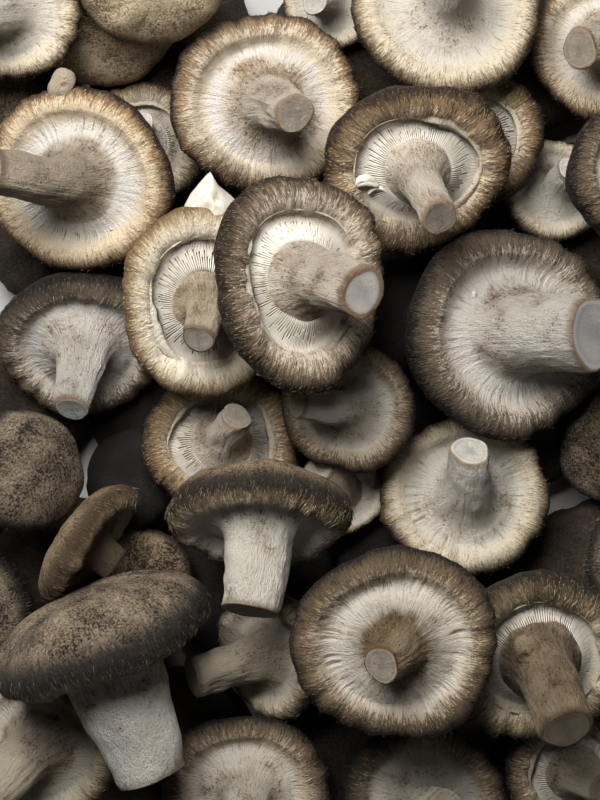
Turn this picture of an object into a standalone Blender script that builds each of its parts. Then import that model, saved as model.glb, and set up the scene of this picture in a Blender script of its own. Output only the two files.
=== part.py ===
"""A heap of fresh shiitake mushrooms, for Blender 4.5.

Each mushroom grew as one piece, so each is one closed solid: a cap that curls in at its rim, and a
stem with a flat cut end. A bed of mushrooms stands on the ground, and the others are set down on it
one by one, each lowered until it rests on what lies below.

Lengths in the tables are millimetres and angles are degrees. A direction is counted anticlockwise
from +X, as seen from above. The origin is on the ground, under the middle of the heap.
"""

import math
import random
from dataclasses import dataclass

import bmesh
import bpy
from mathutils import Matrix, Vector
from mathutils.bvhtree import BVHTree

MM = 0.001
GAP = 0.3  # kept between two mushrooms that rest on each other
LIFT = 0.1  # step by which a mushroom is raised out of a neighbour
DROP_FROM = 400.0  # height from which each mushroom is lowered
SLIDES = (1.5, 3.0, 4.5)  # how far aside it looks for a lower place
SLIDE_EFFORT = 2.5  # and how much lower each millimetre aside has to bring it, in millimetres

# The bed: rows and columns of mushrooms that stand cap up on the ground, under the others.
BED_COLUMNS = 4
BED_ROWS = 5
BED_PITCH_X = 57.0
BED_PITCH_Y = 56.0
BED_SHIFT = 12.0  # every other row is moved along by this much each way
BED_JITTER = 2.0

BED_SEGMENTS = 8  # sides of a mushroom in the bed
SEGMENTS = 12  # sides of a mushroom that is seen

UP = Vector((0, 0, 1))


@dataclass
class Mushroom:
    """One mushroom, modelled gills up: its cap's axis is +Z and its stem rises from the middle."""

    name: str
    at: tuple  # where the cap's middle lies, in x and y
    width: float  # of the cap
    tilt: tuple = (0, 0)  # how far the gill side leans, and which way
    lean: tuple = (0, 0)  # how far the stem's end leans from upright, and which way
    stem: tuple = (26, 7.5, 6.0)  # its length, and its radius below the cap and at the cut
    flare: float = 4.5  # how much wider the stem is where it meets the cap
    veiled: bool = True  # the rim is still joined to the stem, so that no gills show
    dome: float = 0.55  # the cap's height under its rim, as a share of its radius
    roll: float = 0.17  # the rim's own radius, as a share of the cap's
    oval: tuple = (0.03, 0)  # how much longer than wide the cap is, and along which direction
    cut: float = 0.2  # how far the cut turns from square to the stem towards the cap's axis
    colour: str = "tan"


def direction(angle, towards):
    """The unit vector that leans by angle from +Z, towards a direction in plan."""
    angle, towards = math.radians(angle), math.radians(towards)
    across = math.sin(angle)
    return Vector((across * math.cos(towards), across * math.sin(towards), math.cos(angle)))


def cap_outline(shroom):
    """The cap's half section, from its top round the rim and in to the stem, as shares of its radius."""
    dome, roll = shroom.dome, shroom.roll
    outline = []
    for angle in (28, 55, 76):
        angle = math.radians(angle)
        outline.append((math.sin(angle) ** 0.9, -dome * math.cos(angle)))
    for angle in (0, 55, 110):
        angle = math.radians(angle)
        outline.append((1 - roll + roll * math.cos(angle), roll * math.sin(angle)))
    if shroom.veiled:
        outline.append((0.56, 0.3 * roll))
    else:
        outline.append((1 - 2.05 * roll, 0.35 * roll))
        outline.append((1 - 2.25 * roll, -0.35 * roll))
    return outline


def stem_rings(shroom, turn):
    """Centre, normal and radius of each ring of the stem, in the mushroom's own frame."""
    length, top, end = shroom.stem
    radius = shroom.width / 2
    flare = min(shroom.flare, 0.48 * radius - top)
    start = Vector((0, 0, 0.12 * radius))
    tip = turn.inverted() @ direction(*shroom.lean)
    bend = start + 0.4 * length * UP
    finish = bend + 0.6 * length * tip
    rings = []
    for share in (0.0, 0.2, 0.55, 1.0):
        centre = (1 - share) ** 2 * start + 2 * share * (1 - share) * bend + share**2 * finish
        normal = ((1 - share) * (bend - start) + share * (finish - bend)).normalized()
        width = top + (end - top) * share + flare * math.exp(-7 * share)
        rings.append((centre, normal, width))
    centre, normal, width = rings[-1]
    rings[-1] = (centre, normal.lerp(UP, shroom.cut).normalized(), width)
    return rings


def wobble(shroom):
    """The cap's own irregular outline: its radius and its height at an angle round it."""
    chance = random.Random(shroom.name)
    phases = [chance.uniform(0, 2 * math.pi) for _ in range(4)]
    amount, towards = shroom.oval

    def radius(angle):
        oval = amount * math.cos(2 * (angle - math.radians(towards)))
        return 1 + oval + 0.022 * math.cos(3 * angle + phases[0]) + 0.012 * math.cos(5 * angle + phases[1])

    def height(angle):
        return 0.035 * math.cos(2 * angle + phases[2]) + 0.02 * math.cos(3 * angle + phases[3])

    return radius, height


def ring_of(mesh, points):
    """A closed loop of edges through the points."""
    corners = [mesh.verts.new(point * MM) for point in points]
    return [mesh.edges.new(pair) for pair in zip(corners, corners[1:] + corners[:1])]


def solid_of(shroom, turn, sides):
    """The mushroom's mesh: rings bridged from the cap's top to the stem's cut, closed at both ends."""
    radius_at, height_at = wobble(shroom)
    radius = shroom.width / 2
    angles = [2 * math.pi * side / sides for side in range(sides)]
    mesh = bmesh.new()
    loops = []
    for out, up in cap_outline(shroom):
        points = []
        for angle in angles:
            reach = radius * out * radius_at(angle)
            rise = radius * (up + height_at(angle) * out**2)
            points.append(Vector((reach * math.cos(angle), reach * math.sin(angle), rise)))
        loops.append(ring_of(mesh, points))
    for centre, normal, width in stem_rings(shroom, turn):
        facing = UP.rotation_difference(normal)
        spokes = [Vector((math.cos(angle), math.sin(angle), 0)) for angle in angles]
        loops.append(ring_of(mesh, [centre + facing @ (width * spoke) for spoke in spokes]))
    for lower, upper in zip(loops, loops[1:]):
        bmesh.ops.bridge_loops(mesh, edges=lower + upper)
    top = mesh.verts.new((0, 0, -shroom.dome * radius * MM))
    for edge in loops[0]:
        mesh.faces.new((*edge.verts, top))
    bmesh.ops.contextual_create(mesh, geom=loops[-1])
    bmesh.ops.recalc_face_normals(mesh, faces=mesh.faces)
    bmesh.ops.triangulate(mesh, faces=[face for face in mesh.faces if len(face.verts) > 3])
    return mesh


class Body:
    """Where a mushroom's surface lies, for finding out what it meets."""

    def __init__(self, points, polygons):
        self.points = points
        self.polygons = polygons
        self.tree = BVHTree.FromPolygons(points, polygons)
        self.low = [min(point[axis] for point in points) for axis in range(3)]
        self.high = [max(point[axis] for point in points) for axis in range(3)]

    def moved(self, by):
        return Body([point + by for point in self.points], self.polygons)

    def over(self, other):
        """True where one of the two lies over the other in plan."""
        return all(self.low[k] < other.high[k] and other.low[k] < self.high[k] for k in (0, 1))


def room_below(body, placed):
    """How far a raised mushroom can be lowered before it meets the ground or one that is placed."""
    room = body.low[2]
    for other in placed:
        if not body.over(other):
            continue
        hits = [other.tree.ray_cast(point, -UP)[3] for point in body.points]
        hits += [body.tree.ray_cast(point, UP)[3] for point in other.points]
        room = min([room] + [hit - GAP * MM for hit in hits if hit is not None])
    return room


def steps_aside():
    """The places that a mushroom tries, nearest first."""
    yield Vector((0, 0, 0))
    for reach in SLIDES:
        for turn in range(8):
            angle = math.radians(45 * turn)
            yield Vector((math.cos(angle), math.sin(angle), 0)) * reach * MM


def set_down(raised, placed):
    """Lowers a mushroom to where it rests lowest, in its place or a little aside, and returns the move."""
    best = None
    for step in steps_aside():
        body = raised.moved(step)
        move = step - room_below(body, placed) * UP
        effort = move.z + step.length * SLIDE_EFFORT
        if best is None or effort < best[0]:
            best = (effort, move)
    move = best[1]
    while True:
        rested = raised.moved(move)
        if not any(rested.tree.overlap(other.tree) for other in placed if rested.over(other)):
            return rested, move
        move = move + LIFT * MM * UP


def material(colour):
    """A matt, slightly waxy skin in one of the heap's colours."""
    name = f"{colour}_mushroom"
    if name in bpy.data.materials:
        return bpy.data.materials[name]
    made = bpy.data.materials.new(name)
    made.use_nodes = True
    shader = made.node_tree.nodes["Principled BSDF"]
    shader.inputs["Base Color"].default_value = (*COLOURS[colour], 1)
    shader.inputs["Roughness"].default_value = 0.75
    shader.inputs["Metallic"].default_value = 0
    return made


def place(shroom, placed, sides=SEGMENTS):
    """Makes the mushroom's object and sets it down on what is already there."""
    turn = UP.rotation_difference(direction(*shroom.tilt)).to_matrix()
    mesh = solid_of(shroom, turn, sides)
    x, y = shroom.at
    mesh.transform(Matrix.Translation(Vector((x, y, DROP_FROM)) * MM) @ turn.to_4x4())
    mesh.verts.index_update()
    polygons = [[corner.index for corner in face.verts] for face in mesh.faces]
    rested, move = set_down(Body([corner.co.copy() for corner in mesh.verts], polygons), placed)
    placed.append(rested)
    mesh.transform(Matrix.Translation(move))
    data = bpy.data.meshes.new(shroom.name)
    mesh.to_mesh(data)
    mesh.free()
    data.shade_smooth()
    data.set_sharp_from_angle(angle=math.radians(50))
    data.materials.append(material(shroom.colour))
    thing = bpy.data.objects.new(shroom.name, data)
    bpy.context.scene.collection.objects.link(thing)
    return thing


def bed():
    """The mushrooms that carry the heap: they stand on their stems' cuts, each cap leaning its own way."""
    chance = random.Random("bed")
    for row in range(BED_ROWS):
        for column in range(BED_COLUMNS):
            shift = BED_SHIFT if row % 2 else -BED_SHIFT
            x = (column - (BED_COLUMNS - 1) / 2) * BED_PITCH_X + shift
            y = ((BED_ROWS - 1) / 2 - row) * BED_PITCH_Y
            x += chance.uniform(-BED_JITTER, BED_JITTER)
            y += chance.uniform(-BED_JITTER, BED_JITTER)
            yield Mushroom(
                name=f"bed_row{row + 1}_{column + 1}",
                at=(x, y),
                width=chance.uniform(51.5, 54.5),
                tilt=(180 - chance.uniform(0, 8), chance.uniform(0, 360)),
                lean=(180, 0),
                stem=(chance.uniform(6, 9), 8, 7.5),
                dome=chance.uniform(0.5, 0.62),
                oval=(0.03, chance.uniform(0, 180)),
                cut=0,
                colour="dark",
            )


SHORT = (12, 6, 5)  # a stem that was cut short
COLOURS = {
    "dark": (0.13, 0.085, 0.05),
    "tan": (0.36, 0.28, 0.19),
    "pale": (0.56, 0.47, 0.34),
}

# The mushrooms that are seen, from the lowest to the highest.
HEAP = [
    Mushroom(
        "deep_left",
        at=(-52, -24),
        width=30,
        tilt=(160, 300),
        lean=(160, 300),
        stem=SHORT,
        colour="dark",
    ),
    Mushroom(
        "deep_lower_left",
        at=(-50, -52),
        width=30,
        tilt=(165, 60),
        lean=(165, 60),
        stem=SHORT,
        colour="pale",
    ),
    Mushroom("deep_centre", at=(27, 27), width=34, tilt=(165, 60), lean=(165, 60), stem=SHORT),
    Mushroom(
        "deep_right",
        at=(80, 66),
        width=34,
        tilt=(12, 60),
        lean=(30, 60),
        stem=(14, 5, 4),
        colour="pale",
    ),
    Mushroom(
        "deep_top",
        at=(10, 124),
        width=30,
        tilt=(12, 200),
        lean=(30, 200),
        stem=(14, 5, 4),
        colour="pale",
    ),
    Mushroom(
        "left_edge_low",
        at=(-101, -66),
        width=40,
        tilt=(150, 20),
        lean=(150, 20),
        stem=SHORT,
        colour="dark",
    ),
    Mushroom(
        "left_edge_high",
        at=(-106, -26),
        width=44,
        tilt=(150, 20),
        lean=(150, 20),
        stem=SHORT,
        colour="dark",
    ),
    Mushroom(
        "left_edge_middle",
        at=(-82, -21),
        width=38,
        tilt=(140, 200),
        lean=(140, 200),
        stem=SHORT,
        colour="dark",
    ),
    Mushroom("far_left_brown", at=(-95, 88), width=34, tilt=(155, 120), lean=(155, 120), stem=SHORT),
    Mushroom("top_left_lower", at=(-60, 117), width=44, tilt=(140, 100), lean=(140, 100), stem=SHORT),
    Mushroom("far_left_flat", at=(-88, 117), width=44, tilt=(8, 250), lean=(45, 190), stem=(20, 7, 6)),
    Mushroom(
        "top_left_upper",
        at=(-44, 128),
        width=46,
        tilt=(145, 100),
        lean=(145, 100),
        stem=SHORT,
        colour="pale",
    ),
    Mushroom(
        "white_gills",
        at=(-50, 82),
        width=40,
        tilt=(10, 20),
        lean=(30, 90),
        stem=(14, 5, 4),
        veiled=False,
        colour="pale",
    ),
    Mushroom(
        "behind_the_wide_rim",
        at=(53, 81),
        width=44,
        tilt=(10, 180),
        lean=(20, 180),
        stem=(10, 5, 4),
        veiled=False,
    ),
    Mushroom("right_edge_low", at=(99, -14), width=38, tilt=(150, 30), lean=(150, 30), stem=SHORT),
    Mushroom(
        "right_edge_lower",
        at=(104, -50),
        width=38,
        tilt=(150, 200),
        lean=(150, 200),
        stem=SHORT,
        colour="dark",
    ),
    Mushroom(
        "small_pale",
        at=(13, -28.5),
        width=28,
        tilt=(12, 130),
        lean=(50, 140),
        stem=(18, 6, 5.5),
        colour="pale",
    ),
    Mushroom(
        "bottom_left_gills",
        at=(-80, -107),
        width=50,
        tilt=(20, 200),
        lean=(62, 228),
        stem=(30, 7.5, 7.5),
    ),
    Mushroom(
        "edge_on", at=(-64, -43), width=43, tilt=(82, 324), lean=(95, 324), stem=(8, 6, 5), dome=0.4
    ),
    Mushroom("lying_white", at=(-9, -78), width=42, tilt=(45, 190), lean=(75, 195), stem=(26, 7, 6)),
    Mushroom(
        "top_right_pale",
        at=(45, 119),
        width=57,
        tilt=(12, 90),
        lean=(30, 90),
        stem=(22, 7, 6),
        colour="pale",
    ),
    Mushroom("top_right_far", at=(93, 110), width=46, tilt=(12, 200), lean=(45, 200), stem=(20, 7, 6)),
    Mushroom("bottom_right", at=(38, -123), width=49, tilt=(8, 270), lean=(30, 20), stem=(20, 7, 6)),
    Mushroom("bottom_centre", at=(-17, -119), width=51, tilt=(8, 270), lean=(20, 270), stem=(20, 7, 6)),
    Mushroom(
        "below_brown_stem",
        at=(85, -115),
        width=42,
        tilt=(8, 300),
        lean=(40, 350),
        stem=(18, 6, 5),
        veiled=False,
    ),
    Mushroom(
        "radial_slits",
        at=(51, -29),
        width=52,
        tilt=(8, 95),
        lean=(58, 88),
        stem=(24, 8, 6),
        colour="pale",
    ),
    Mushroom(
        "tan_gills",
        at=(-24, -13),
        width=48,
        tilt=(14, 60),
        lean=(42, 60),
        stem=(18, 6, 4.5),
        veiled=False,
    ),
    Mushroom("white_veil", at=(15, -2), width=41, tilt=(10, 190), lean=(70, 172), stem=(24, 5.5, 4.6)),
    Mushroom(
        "left_dark_rim",
        at=(-67.5, 15),
        width=52,
        tilt=(34, 275),
        lean=(55, 262),
        stem=(26, 8, 5),
        flare=6,
        colour="dark",
    ),
    Mushroom("left_gold", at=(-66.5, 67), width=58, tilt=(18, 215), lean=(62, 170), stem=(36, 8, 6.5)),
    Mushroom(
        "pale_torn_lip",
        at=(-29, 29.5),
        width=54,
        tilt=(14, 320),
        lean=(55, 255),
        stem=(20, 6, 5),
        veiled=False,
        oval=(0.09, 100),
        colour="pale",
    ),
    Mushroom(
        "right_edge_hairy",
        at=(102, 68),
        width=46,
        tilt=(30, 10),
        lean=(50, 10),
        stem=(20, 7, 6),
        colour="dark",
    ),
    Mushroom(
        "top_centre",
        at=(-10.5, 94.5),
        width=58.5,
        tilt=(10, 320),
        lean=(28, 325),
        stem=(30, 8, 5.7),
        flare=6,
    ),
    Mushroom(
        "wide_rim",
        at=(34.5, 69.5),
        width=55,
        tilt=(26, 285),
        lean=(42, 290),
        stem=(28, 6.5, 5.4),
        veiled=False,
        oval=(0.05, 10),
    ),
    Mushroom(
        "thick_stem",
        at=(62, 23),
        width=67,
        tilt=(22, 0),
        lean=(54, 357),
        stem=(33, 12, 11.5),
        flare=3,
        colour="dark",
    ),
    Mushroom(
        "centre",
        at=(0, 35),
        width=59,
        tilt=(25, 5),
        lean=(42, 335),
        stem=(30, 8, 7.6),
        veiled=False,
        oval=(0.09, 95),
    ),
    Mushroom("side_view", at=(-12, -35), width=54, tilt=(62, 268), lean=(76, 260), stem=(25, 9.5, 8.5)),
    Mushroom(
        "brown_stem",
        at=(72, -77),
        width=56,
        tilt=(18, 290),
        lean=(45, 285),
        stem=(32, 9, 7.5),
        veiled=False,
    ),
    Mushroom(
        "big_dark_cap",
        at=(-60.5, -73),
        width=67,
        tilt=(95, 292),
        lean=(98, 289),
        stem=(38, 16, 10),
        flare=2,
        colour="dark",
    ),
    Mushroom(
        "round_veil",
        at=(28, -71),
        width=60,
        tilt=(8, 270),
        lean=(38, 215),
        stem=(15, 8, 5.5),
        flare=8,
        colour="dark",
    ),
]


def main():
    for old in list(bpy.data.objects):
        bpy.data.objects.remove(old)
    placed = []
    things = [place(shroom, placed, BED_SEGMENTS) for shroom in bed()]
    things += [place(shroom, placed) for shroom in HEAP]
    middle = Vector((0, 0, 0))
    for axis in (0, 1):
        low = min(body.low[axis] for body in placed)
        high = max(body.high[axis] for body in placed)
        middle[axis] = (low + high) / 2
    for thing in things:
        thing.location = -middle


main()
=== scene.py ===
# %% [markdown]
# # A heap of fresh shiitake mushrooms
# Sixty mushrooms lie in a loose heap, most of them gills up, so that the pale undersides and the
# cut stems are seen. Each one grew as a single piece, and each one is a single mesh here, with its
# gills and its fibres part of it. The CAD heap says where every mushroom lies and how large it is.
# This script grows the same mushrooms again, from the same outline, but finely: a few dozen points
# for each point of the CAD, with folds, slits, pits and tufts that the CAD leaves out.

import math
import random
from dataclasses import dataclass

import bpy
import numpy as np
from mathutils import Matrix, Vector


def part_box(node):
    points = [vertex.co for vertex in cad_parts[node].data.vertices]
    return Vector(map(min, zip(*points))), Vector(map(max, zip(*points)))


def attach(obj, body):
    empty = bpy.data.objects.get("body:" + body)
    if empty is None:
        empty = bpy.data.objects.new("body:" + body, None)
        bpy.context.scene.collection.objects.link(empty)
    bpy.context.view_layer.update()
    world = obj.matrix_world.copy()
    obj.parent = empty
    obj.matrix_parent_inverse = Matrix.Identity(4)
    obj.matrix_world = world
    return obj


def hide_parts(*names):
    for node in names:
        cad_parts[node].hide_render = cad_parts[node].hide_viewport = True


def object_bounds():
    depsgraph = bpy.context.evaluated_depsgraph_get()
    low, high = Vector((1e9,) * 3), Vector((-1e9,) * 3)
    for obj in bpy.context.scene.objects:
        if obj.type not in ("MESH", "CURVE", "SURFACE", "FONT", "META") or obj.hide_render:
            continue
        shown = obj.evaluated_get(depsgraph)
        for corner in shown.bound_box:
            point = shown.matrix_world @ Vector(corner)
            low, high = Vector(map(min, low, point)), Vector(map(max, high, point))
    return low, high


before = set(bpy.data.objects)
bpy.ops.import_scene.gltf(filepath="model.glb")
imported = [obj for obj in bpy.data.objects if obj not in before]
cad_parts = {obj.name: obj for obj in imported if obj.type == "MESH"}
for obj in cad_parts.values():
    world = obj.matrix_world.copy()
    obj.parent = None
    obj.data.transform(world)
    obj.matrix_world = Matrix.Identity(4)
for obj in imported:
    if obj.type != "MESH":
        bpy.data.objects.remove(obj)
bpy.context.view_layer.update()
MM = 0.001
UP = Vector((0, 0, 1))
print("the frame has", len(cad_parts), "mushrooms")

# %% [markdown]
# ## What tells one mushroom from another
# A mushroom is described gills up: its cap's axis is +Z and the stem rises from the middle. The
# numbers are the CAD's own, in millimetres and degrees. `tilt` says how far the cap's axis leans and
# towards where, and `lean` says the same of the stem's tip. `stem` is its length and its radius at
# the cap and at the cut. `look` names its colouring. Three more tables say what only the fine surface
# has: how deeply a veil is slit along the radius, how far shreds of veil hang from the rim, and how
# hairy the rim is.

# %% The list of mushrooms
@dataclass
class Mushroom:
    name: str
    at: tuple
    width: float
    tilt: tuple = (0, 0)
    lean: tuple = (0, 0)
    stem: tuple = (26, 7.5, 6.0)
    look: str = "tan"
    flare: float = 4.5
    veiled: bool = True
    dome: float = 0.55
    roll: float = 0.17
    oval: tuple = (0.03, 0)
    cut: float = 0.2
    sides: int = 12


SHORT = (12, 6, 5)
HEAP = [
    # deep_left and deep_centre take the bed's nearly black look, as painted shade in the gaps
    Mushroom("deep_left", (-52, -24), 30, (160, 300), (160, 300), SHORT, "bed"),
    Mushroom("deep_lower_left", (-50, -52), 30, (165, 60), (165, 60), SHORT, "grey"),
    Mushroom("deep_centre", (27, 27), 34, (165, 60), (165, 60), SHORT, "bed"),
    Mushroom("deep_right", (80, 66), 34, (12, 60), (30, 60), (14, 5, 4), "pale"),
    Mushroom("deep_top", (10, 124), 30, (12, 200), (30, 200), (14, 5, 4), "pale"),
    Mushroom("left_edge_low", (-101, -66), 40, (150, 20), (150, 20), SHORT, "umber"),
    Mushroom("left_edge_high", (-106, -26), 44, (150, 20), (150, 20), SHORT, "brown"),
    Mushroom("left_edge_middle", (-82, -21), 38, (140, 200), (140, 200), SHORT, "umber"),
    Mushroom("far_left_brown", (-95, 88), 34, (155, 120), (155, 120), SHORT, "brown"),
    Mushroom("top_left_lower", (-60, 117), 44, (140, 100), (140, 100), SHORT, "fleecy"),
    Mushroom("far_left_flat", (-88, 117), 44, (8, 250), (45, 190), (20, 7, 6), "pale"),
    Mushroom("top_left_upper", (-44, 128), 46, (145, 100), (145, 100), SHORT, "fleecy"),
    Mushroom("white_gills", (-50, 82), 40, (10, 20), (30, 90), (14, 5, 4), "pale", veiled=False),
    Mushroom("behind_the_wide_rim", (53, 81), 44, (10, 180), (20, 180), (10, 5, 4), "tan", veiled=False),
    Mushroom("right_edge_low", (99, -14), 38, (150, 30), (150, 30), SHORT, "umber"),
    Mushroom("right_edge_lower", (104, -50), 38, (150, 200), (150, 200), SHORT, "umber"),
    Mushroom("small_pale", (13, -28.5), 28, (12, 130), (50, 140), (18, 6, 5.5), "cream"),
    Mushroom("bottom_left_gills", (-80, -107), 50, (20, 200), (62, 228), (30, 7.5, 7.5), "grey"),
    Mushroom("edge_on", (-64, -43), 43, (82, 324), (95, 324), (8, 6, 5), "sleek", dome=0.4),
    Mushroom("lying_white", (-9, -78), 42, (45, 190), (75, 195), (26, 7, 6), "grey"),
    Mushroom("top_right_pale", (45, 119), 57, (12, 90), (30, 90), (22, 7, 6), "pale"),
    Mushroom("top_right_far", (93, 110), 46, (12, 200), (45, 200), (20, 7, 6), "tan"),
    Mushroom("bottom_right", (38, -123), 49, (8, 270), (30, 20), (20, 7, 6), "brown"),
    Mushroom("bottom_centre", (-17, -119), 51, (8, 270), (20, 270), (20, 7, 6), "brown"),
    Mushroom("below_brown_stem", (85, -115), 42, (8, 300), (40, 350), (18, 6, 5), "grey", veiled=False),
    Mushroom("radial_slits", (51, -29), 52, (8, 95), (58, 88), (24, 8, 6), "pale"),
    Mushroom("tan_gills", (-24, -13), 48, (14, 60), (42, 60), (18, 6, 4.5), "tan", veiled=False),
    Mushroom("white_veil", (15, -2), 41, (10, 190), (70, 172), (24, 5.5, 4.6), "brown"),
    Mushroom("left_dark_rim", (-67.5, 15), 52, (34, 275), (55, 262), (26, 8, 5), "dark", flare=6),
    Mushroom("left_gold", (-66.5, 67), 58, (18, 215), (62, 170), (36, 8, 6.5), "gold"),
    Mushroom(
        "pale_torn_lip", (-29, 29.5), 54, (14, 320), (55, 255), (20, 6, 5), "cream",
        veiled=False, oval=(0.09, 100)
    ),
    Mushroom("right_edge_hairy", (102, 68), 46, (30, 10), (50, 10), (20, 7, 6), "brown"),
    Mushroom("top_centre", (-10.5, 94.5), 58.5, (10, 320), (28, 325), (30, 8, 5.7), "tan", flare=6),
    Mushroom(
        "wide_rim", (34.5, 69.5), 55, (26, 285), (42, 290), (28, 6.5, 5.4), "tan",
        veiled=False, oval=(0.05, 10)
    ),
    Mushroom("thick_stem", (62, 23), 67, (22, 0), (54, 357), (33, 12, 11.5), "dark", flare=3),
    Mushroom(
        "centre", (0, 35), 59, (25, 5), (42, 335), (30, 8, 7.6), "mottled",
        veiled=False, oval=(0.09, 95)
    ),
    Mushroom("side_view", (-12, -35), 54, (62, 268), (76, 260), (25, 9.5, 8.5), "skirted"),
    Mushroom("brown_stem", (72, -77), 56, (18, 290), (45, 285), (32, 9, 7.5), "woody", veiled=False),
    Mushroom("big_dark_cap", (-60.5, -73), 67, (95, 292), (98, 289), (38, 16, 10), "umber", flare=2),
    Mushroom("round_veil", (28, -71), 60, (8, 270), (38, 215), (15, 8, 5.5), "haloed", flare=8),
]

BED_ROWS, BED_COLUMNS = 5, 4
BED_STEP = (57, 56)  # from one to the next, across and along the heap
BED_SHIFT = 12  # how far each row is moved sideways, to the right and to the left in turn
BED_STRAY = 2


def bed():
    """The twenty that stand under the others, stems down."""
    chance = random.Random("bed")
    for row in range(BED_ROWS):
        for column in range(BED_COLUMNS):
            x = (column - 1.5) * BED_STEP[0] + (BED_SHIFT if row % 2 else -BED_SHIFT)
            x += chance.uniform(-BED_STRAY, BED_STRAY)
            y = (2 - row) * BED_STEP[1] + chance.uniform(-BED_STRAY, BED_STRAY)
            yield Mushroom(
                name=f"bed_row{row + 1}_{column + 1}",
                at=(x, y),
                width=chance.uniform(51.5, 54.5),
                tilt=(180 - chance.uniform(0, 8), chance.uniform(0, 360)),
                lean=(180, 0),
                stem=(chance.uniform(6, 9), 8, 7.5),
                dome=chance.uniform(0.5, 0.62),
                oval=(0.03, chance.uniform(0, 180)),
                cut=0,
                # painted shade: nearly black in the middle of the bed, dark brown round its edge
                look="bed" if 0 < row < BED_ROWS - 1 and 0 < column < BED_COLUMNS - 1 else "shade",
                sides=8,
            )


ALL = list(bed()) + HEAP
# those in full view, which get the finest surface
HEROES = (
    "top_centre centre thick_stem left_gold left_dark_rim wide_rim round_veil side_view "
    "big_dark_cap radial_slits brown_stem pale_torn_lip"
).split()
SLITS = {"radial_slits": 1.0, "round_veil": 0.7, "thick_stem": 0.25}
TORN = {"centre": 2.2, "wide_rim": 2.0, "pale_torn_lip": 2.6, "tan_gills": 1.4, "brown_stem": 1.5}
TORN |= {"white_gills": 1.0, "behind_the_wide_rim": 1.2, "below_brown_stem": 1.2}
FUZZ = {"big_dark_cap": 0.5, "edge_on": 0.5, "left_gold": 0.6, "pale_torn_lip": 0.35}
FUZZ |= {"small_pale": 0.3, "radial_slits": 0.7, "right_edge_hairy": 1.4, "wide_rim": 1.2}
USUAL_FUZZ = 0.9
print(len(ALL), "mushrooms,", len(HEROES), "of them in full view")

# %% [markdown]
# ## Where each one lies
# The CAD's points are worked out again from the same outline, turned the same way, and compared
# with the box of the CAD node. The difference is the place that the mushroom was set down at, so
# the fine surface below needs nothing else to lie exactly where the CAD's does.

# %% The CAD's shape and place
def direction(angle, towards):
    angle, towards = math.radians(angle), math.radians(towards)
    across = math.sin(angle)
    return Vector((across * math.cos(towards), across * math.sin(towards), math.cos(angle)))


def turn_of(shroom):
    return UP.rotation_difference(direction(*shroom.tilt)).to_matrix()


def cad_outline(shroom):
    dome, roll = shroom.dome, shroom.roll
    outline = []
    for angle in (28, 55, 76):
        angle = math.radians(angle)
        outline.append((math.sin(angle) ** 0.9, -dome * math.cos(angle)))
    for angle in (0, 55, 110):
        angle = math.radians(angle)
        outline.append((1 - roll + roll * math.cos(angle), roll * math.sin(angle)))
    if shroom.veiled:
        return outline + [(0.56, 0.3 * roll)]
    return outline + [(1 - 2.05 * roll, 0.35 * roll), (1 - 2.25 * roll, -0.35 * roll)]


def stem_ring(shroom, share):
    """Centre, normal and radius of the stem at a share of its length, in the mushroom's frame."""
    length, top, end = shroom.stem
    radius = shroom.width / 2
    flare = min(shroom.flare, 0.48 * radius - top)
    start = Vector((0, 0, 0.12 * radius))
    tip = turn_of(shroom).inverted() @ direction(*shroom.lean)
    bend = start + 0.4 * length * UP
    finish = bend + 0.6 * length * tip
    centre = (1 - share) ** 2 * start + 2 * share * (1 - share) * bend + share**2 * finish
    normal = ((1 - share) * (bend - start) + share * (finish - bend)).normalized()
    squared = normal.lerp(UP, shroom.cut).normalized()
    normal = normal.lerp(squared, max(0, share - 0.55) / 0.45).normalized()
    return centre, normal, top + (end - top) * share + flare * math.exp(-7 * share)


def wobble(shroom, angles):
    """How much further than its radius the cap reaches at each angle, and how much higher it lies."""
    chance = random.Random(shroom.name)
    phases = [chance.uniform(0, 2 * math.pi) for _ in range(4)]
    amount, towards = shroom.oval
    reach = 1 + amount * np.cos(2 * (angles - math.radians(towards)))
    reach += 0.022 * np.cos(3 * angles + phases[0]) + 0.012 * np.cos(5 * angles + phases[1])
    rise = 0.035 * np.cos(2 * angles + phases[2]) + 0.02 * np.cos(3 * angles + phases[3])
    return reach, rise


def turns(count):
    """Angles all the way round, evenly."""
    return np.arange(count) * 2 * math.pi / count


def polar(angles, out=1.0, height=0.0):
    """A point at each angle, at a distance from the axis and at a height."""
    return np.stack([out * np.cos(angles), out * np.sin(angles), height + 0 * angles], 1)


def cap_points(shroom, out, up, angles, radius):
    reach, rise = wobble(shroom, angles)
    return polar(angles, radius * out * reach, radius * (up + rise * out**2))


def stem_points(shroom, share, angles, shrink=1.0, beyond=0.0, lumpy=0.0):
    centre, normal, width = stem_ring(shroom, share)
    facing = np.array(UP.rotation_difference(normal).to_matrix())
    chance = random.Random(shroom.name + " stem")
    lumps = 0 * angles
    for waves_round, depth in ((2, 0.05), (3, 0.035), (5, 0.02)):
        lumps += depth * np.cos(waves_round * angles + chance.uniform(0, 6.28) + 1.2 * share)
    spokes = polar(angles) * (1 + lumpy * lumps)[:, None]
    return np.array(centre + normal * beyond) + (spokes * width * shrink) @ facing.T


def place_of(shroom):
    """The move, in millimetres, from the mushroom's own turned frame to where the CAD has it."""
    angles = turns(shroom.sides)
    radius = shroom.width / 2
    rings = [cap_points(shroom, out, up, angles, radius) for out, up in cad_outline(shroom)]
    rings += [stem_points(shroom, share, angles) for share in (0, 0.2, 0.55, 1)]
    points = np.concatenate([*rings, [[0, 0, -shroom.dome * radius]]]) @ np.array(turn_of(shroom)).T
    low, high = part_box(shroom.name)
    misfit = np.abs((points.max(0) - points.min(0)) - np.array(high - low) / MM).max()
    return np.array(low) / MM - points.min(0), misfit


PLACES = {}
worst = 0
for shroom in ALL:
    PLACES[shroom.name], misfit = place_of(shroom)
    worst = max(worst, misfit)
print("the outlines agree with the CAD's boxes within", round(worst, 3), "mm")

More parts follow.
